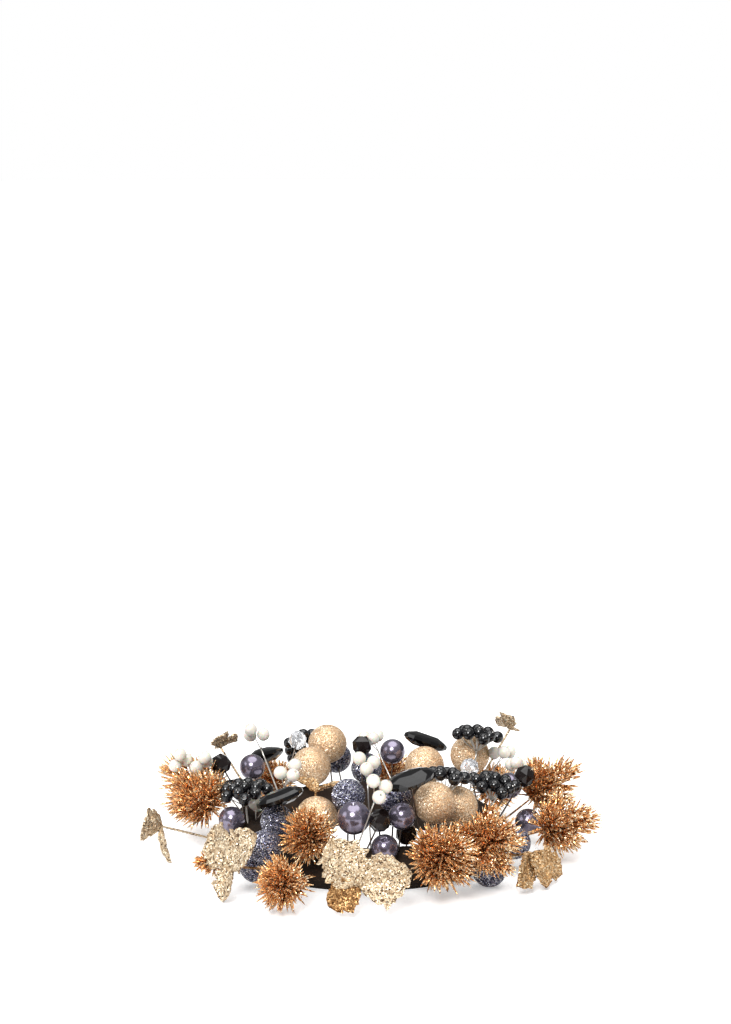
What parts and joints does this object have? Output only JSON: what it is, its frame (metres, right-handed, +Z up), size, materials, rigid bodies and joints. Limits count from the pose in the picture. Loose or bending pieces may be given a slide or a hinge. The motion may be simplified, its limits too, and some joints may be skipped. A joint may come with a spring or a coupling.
{
  "type": "candle ring",
  "caption": "Ring of glitter balls, pearls, faceted beads, berries, sprays and leaves on wires in a round base, with a hole for a pillar candle.",
  "frame": {"origin": "middle of the candle hole, on the plane that the base stands on", "axes": "+Z up along the candle hole, -Y the side that shows in the picture"},
  "size_m": [0.2256, 0.2187, 0.0641],
  "materials": {
    "base_foam": "matt moulded foam",
    "steel_wire": "drawn wire",
    "gold_glitter": "fine glitter",
    "navy_glitter": "fine glitter",
    "pearl_lacquer": "satin pearl lacquer",
    "jet_acrylic": "polished facets",
    "clear_acrylic": "polished facets",
    "milky_bead": "glossy",
    "black_berry": "glossy",
    "copper_glitter": "fine glitter",
    "gold_leaf_glitter": "coarse flake glitter"
  },
  "bodies": {
    "root": {"base_ring": "base_foam", "berry_pick_1": "black_berry", "berry_pick_2": "black_berry", "berry_pick_3": "black_berry", "berry_pick_4": "black_berry", "berry_pick_5": "black_berry", "copper_spray_1": "copper_glitter", "copper_spray_10": "copper_glitter", "copper_spray_11": "copper_glitter", "copper_spray_12": "copper_glitter", "copper_spray_2": "copper_glitter", "copper_spray_3": "copper_glitter", "copper_spray_4": "copper_glitter", "copper_spray_5": "copper_glitter", "copper_spray_6": "copper_glitter", "copper_spray_7": "copper_glitter", "copper_spray_8": "copper_glitter", "copper_spray_9": "copper_glitter", "crystal_beads": "clear_acrylic", "gold_ball_1": "gold_glitter", "gold_ball_2": "gold_glitter", "gold_ball_3": "gold_glitter", "gold_ball_4": "gold_glitter", "gold_ball_5": "gold_glitter", "gold_ball_6": "gold_glitter", "gold_ball_7": "gold_glitter", "jet_beads_back": "jet_acrylic", "jet_beads_front": "jet_acrylic", "jet_beads_left": "jet_acrylic", "jet_beads_right": "jet_acrylic", "leaf_sprig_1": "gold_leaf_glitter", "leaf_sprig_2": "gold_leaf_glitter", "leaf_sprig_3": "gold_leaf_glitter", "leaf_sprig_4": "gold_leaf_glitter", "leaf_sprig_5": "gold_leaf_glitter", "leaf_sprig_6": "gold_leaf_glitter", "navy_ball_1": "navy_glitter", "navy_ball_2": "navy_glitter", "navy_ball_3": "navy_glitter", "navy_ball_4": "navy_glitter", "navy_ball_5": "navy_glitter", "navy_ball_6": "navy_glitter", "navy_ball_7": "navy_glitter", "navy_ball_8": "navy_glitter", "navy_ball_9": "navy_glitter", "oval_stone_1": "jet_acrylic", "oval_stone_2": "jet_acrylic", "oval_stone_3": "jet_acrylic", "oval_stone_4": "jet_acrylic", "oval_stone_5": "jet_acrylic", "pearls_back": "pearl_lacquer", "pearls_front": "pearl_lacquer", "pearls_left": "pearl_lacquer", "pearls_right": "pearl_lacquer", "pick_wires": "steel_wire", "white_sprig_back": "milky_bead", "white_sprig_front": "milky_bead", "white_sprig_front_left": "milky_bead", "white_sprig_left": "milky_bead", "white_sprig_right": "milky_bead"}
  },
  "joints": []
}
